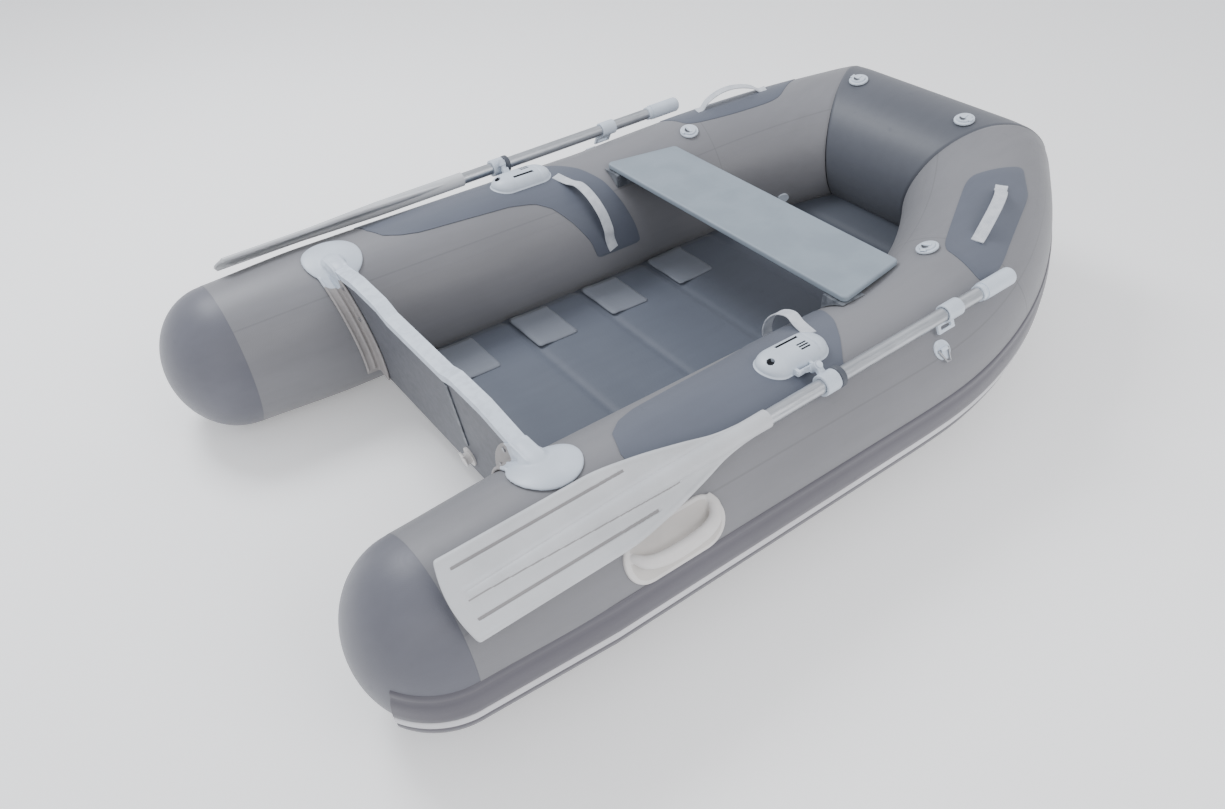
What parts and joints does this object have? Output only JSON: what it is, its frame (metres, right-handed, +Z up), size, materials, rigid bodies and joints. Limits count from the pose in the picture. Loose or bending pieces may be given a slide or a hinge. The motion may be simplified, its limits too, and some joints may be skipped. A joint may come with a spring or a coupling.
{
  "type": "inflatable dinghy",
  "caption": "Small inflatable dinghy with horseshoe air tubes, raked transom, slatted floor, bench, stowed oars in rowlocks, webbing handles and flip-cap valves.",
  "frame": {"origin": "on the ground, midway along the length, on the centre line", "axes": "+X to the bow, +Y to port, +Z up"},
  "size_m": [1.9998, 1.2994, 0.4795],
  "materials": {
    "tube_fabric": "satin coated fabric",
    "dark_fabric": "satin coated fabric",
    "floor_fabric": "matt coated fabric",
    "flap_fabric": "matt coated fabric",
    "strake_rubber": "satin",
    "insert_rubber": "satin",
    "slat_board": "painted board",
    "transom_board": "painted board",
    "white_plastic": "fine grain",
    "warm_plastic": "fine grain",
    "black_plastic": "fine grain",
    "blade_plastic": "fine grain",
    "bench_plastic": "painted board with a wrapped edge",
    "webbing": "woven webbing",
    "aluminium": "anodised",
    "steel": "brushed"
  },
  "bodies": {
    "hull": {"bow_handle_patches": "dark_fabric", "bow_handles": "webbing", "bow_tube": "dark_fabric", "drain_body": "warm_plastic", "floor_fabric": "floor_fabric", "floor_slats": "slat_board", "port_bow_panel_aft": "tube_fabric", "port_bow_panel_forward": "tube_fabric", "port_inner_handle": "webbing", "port_lifting_handle": "warm_plastic", "port_rowlock_base": "white_plastic", "port_rub_strake": "strake_rubber", "port_side_tube": "tube_fabric", "port_stern_cone": "dark_fabric", "port_transom_holder": "white_plastic", "rowlock_patches": "dark_fabric", "rub_strake_inserts": "insert_rubber", "seat_brackets": "black_plastic", "slat_flaps": "flap_fabric", "starboard_bow_panel_aft": "tube_fabric", "starboard_bow_panel_forward": "tube_fabric", "starboard_inner_handle": "webbing", "starboard_lifting_handle": "warm_plastic", "starboard_rowlock_base": "white_plastic", "starboard_rub_strake": "strake_rubber", "starboard_side_tube": "tube_fabric", "starboard_stern_cone": "dark_fabric", "starboard_transom_holder": "white_plastic", "tie_patches": "white_plastic", "transom_board": "transom_board", "transom_cap": "white_plastic", "transom_screws": "steel", "transom_strip": "black_plastic", "valve_bodies": "white_plastic"},
    "port_yoke": {"port_rowlock_yoke": "white_plastic"},
    "port_collar": {"port_oar_collar": "white_plastic"},
    "port_oar": {"port_oar_shaft": "aluminium", "port_oar_blade": "blade_plastic", "port_oar_grip": "white_plastic", "port_oar_stop_ring": "black_plastic"},
    "port_clip": {"port_oar_clip": "white_plastic"},
    "port_ring": {"port_tie_ring": "steel"},
    "port_side_valve_cap_body": {"port_side_valve_cap": "white_plastic"},
    "port_side_valve_plunger_body": {"port_side_valve_plunger": "white_plastic"},
    "port_bow_valve_cap_body": {"port_bow_valve_cap": "white_plastic"},
    "port_bow_valve_plunger_body": {"port_bow_valve_plunger": "white_plastic"},
    "starboard_yoke": {"starboard_rowlock_yoke": "white_plastic"},
    "starboard_collar": {"starboard_oar_collar": "white_plastic"},
    "starboard_oar": {"starboard_oar_shaft": "aluminium", "starboard_oar_blade": "blade_plastic", "starboard_oar_grip": "white_plastic", "starboard_oar_stop_ring": "black_plastic"},
    "starboard_clip": {"starboard_oar_clip": "white_plastic"},
    "starboard_ring": {"starboard_tie_ring": "steel"},
    "starboard_side_valve_cap_body": {"starboard_side_valve_cap": "white_plastic"},
    "starboard_side_valve_plunger_body": {"starboard_side_valve_plunger": "white_plastic"},
    "starboard_bow_valve_cap_body": {"starboard_bow_valve_cap": "white_plastic"},
    "starboard_bow_valve_plunger_body": {"starboard_bow_valve_plunger": "white_plastic"},
    "drain_flap_body": {"drain_flap": "warm_plastic"},
    "bench": {"seat_board": "bench_plastic"}
  },
  "joints": [
    {"name": "port_oar_dip", "type": "hinge", "parent": "hull", "child": "port_yoke", "pos_m": [-0.095, 0.507, 0.3425], "axis": [1, 0, 0], "range_deg": [0, 12]},
    {"name": "port_oar_swing", "type": "hinge", "parent": "port_yoke", "child": "port_collar", "pos_m": [-0.095, 0.53, 0.36445], "axis": [0, -0.5736, -0.8192], "range_deg": [0, 120]},
    {"name": "port_oar_feather", "type": "hinge", "parent": "port_collar", "child": "port_oar", "pos_m": [-0.095, 0.55837, 0.34458], "axis": [0.9997, -0.006, 0.0246], "range_deg": [-17, 17]},
    {"name": "port_clip_turn", "type": "hinge", "parent": "port_collar", "child": "port_clip", "pos_m": [-0.095, 0.55837, 0.34458], "axis": [0.9997, -0.006, 0.0246], "range_deg": [0, 90]},
    {"name": "port_ring_swing", "type": "hinge", "parent": "hull", "child": "port_ring", "pos_m": [0.21124, 0.58553, 0.293], "axis": [1, 0, 0], "range_deg": [0, 60]},
    {"name": "port_side_cap_hinge", "type": "hinge", "parent": "hull", "child": "port_side_valve_cap_body", "pos_m": [0.3731, 0.38919, 0.36301], "axis": [-0.1997, -0.9364, -0.2886], "range_deg": [0, 150]},
    {"name": "port_side_plunger_press", "type": "slide", "parent": "hull", "child": "port_side_valve_plunger_body", "axis": [0.2231, 0.2433, -0.9439], "range_m": [0, 0.004], "stiffness_N_per_m": 300, "springref_m": -0.002},
    {"name": "port_bow_cap_hinge", "type": "hinge", "parent": "hull", "child": "port_bow_valve_cap_body", "pos_m": [0.77482, 0.184, 0.4737], "axis": [-0.9703, 0, -0.2419], "range_deg": [0, 150]},
    {"name": "port_bow_plunger_press", "type": "slide", "parent": "hull", "child": "port_bow_valve_plunger_body", "axis": [0.2419, 0, -0.9703], "range_m": [0, 0.004], "stiffness_N_per_m": 300, "springref_m": -0.002},
    {"name": "starboard_oar_dip", "type": "hinge", "parent": "hull", "child": "starboard_yoke", "pos_m": [-0.095, -0.507, 0.3425], "axis": [-1, 0, 0], "range_deg": [0, 12]},
    {"name": "starboard_oar_swing", "type": "hinge", "parent": "starboard_yoke", "child": "starboard_collar", "pos_m": [-0.095, -0.53, 0.36445], "axis": [0, -0.5736, 0.8192], "range_deg": [0, 120]},
    {"name": "starboard_oar_feather", "type": "hinge", "parent": "starboard_collar", "child": "starboard_oar", "pos_m": [-0.095, -0.55837, 0.34458], "axis": [0.9997, 0.006, 0.0246], "range_deg": [-17, 17]},
    {"name": "starboard_clip_turn", "type": "hinge", "parent": "starboard_collar", "child": "starboard_clip", "pos_m": [-0.095, -0.55837, 0.34458], "axis": [-0.9997, -0.006, -0.0246], "range_deg": [0, 90]},
    {"name": "starboard_ring_swing", "type": "hinge", "parent": "hull", "child": "starboard_ring", "pos_m": [0.21124, -0.58553, 0.293], "axis": [-1, 0, 0], "range_deg": [0, 60]},
    {"name": "starboard_side_cap_hinge", "type": "hinge", "parent": "hull", "child": "starboard_side_valve_cap_body", "pos_m": [0.3731, -0.38919, 0.36301], "axis": [0.1997, -0.9364, 0.2886], "range_deg": [0, 150]},
    {"name": "starboard_side_plunger_press", "type": "slide", "parent": "hull", "child": "starboard_side_valve_plunger_body", "axis": [0.2231, -0.2433, -0.9439], "range_m": [0, 0.004], "stiffness_N_per_m": 300, "springref_m": -0.002},
    {"name": "starboard_bow_cap_hinge", "type": "hinge", "parent": "hull", "child": "starboard_bow_valve_cap_body", "pos_m": [0.77482, -0.184, 0.4737], "axis": [0.9703, 0, 0.2419], "range_deg": [0, 150]},
    {"name": "starboard_bow_plunger_press", "type": "slide", "parent": "hull", "child": "starboard_bow_valve_plunger_body", "axis": [0.2419, 0, -0.9703], "range_m": [0, 0.004], "stiffness_N_per_m": 300, "springref_m": -0.002},
    {"name": "drain_flap_hinge", "type": "hinge", "parent": "hull", "child": "drain_flap_body", "pos_m": [-0.61148, -0.112, 0.13983], "axis": [0, 1, 0], "range_deg": [0, 70]},
    {"name": "bench_lift", "type": "slide", "parent": "hull", "child": "bench", "axis": [0, 0, 1], "range_m": [0, 0.1]}
  ]
}
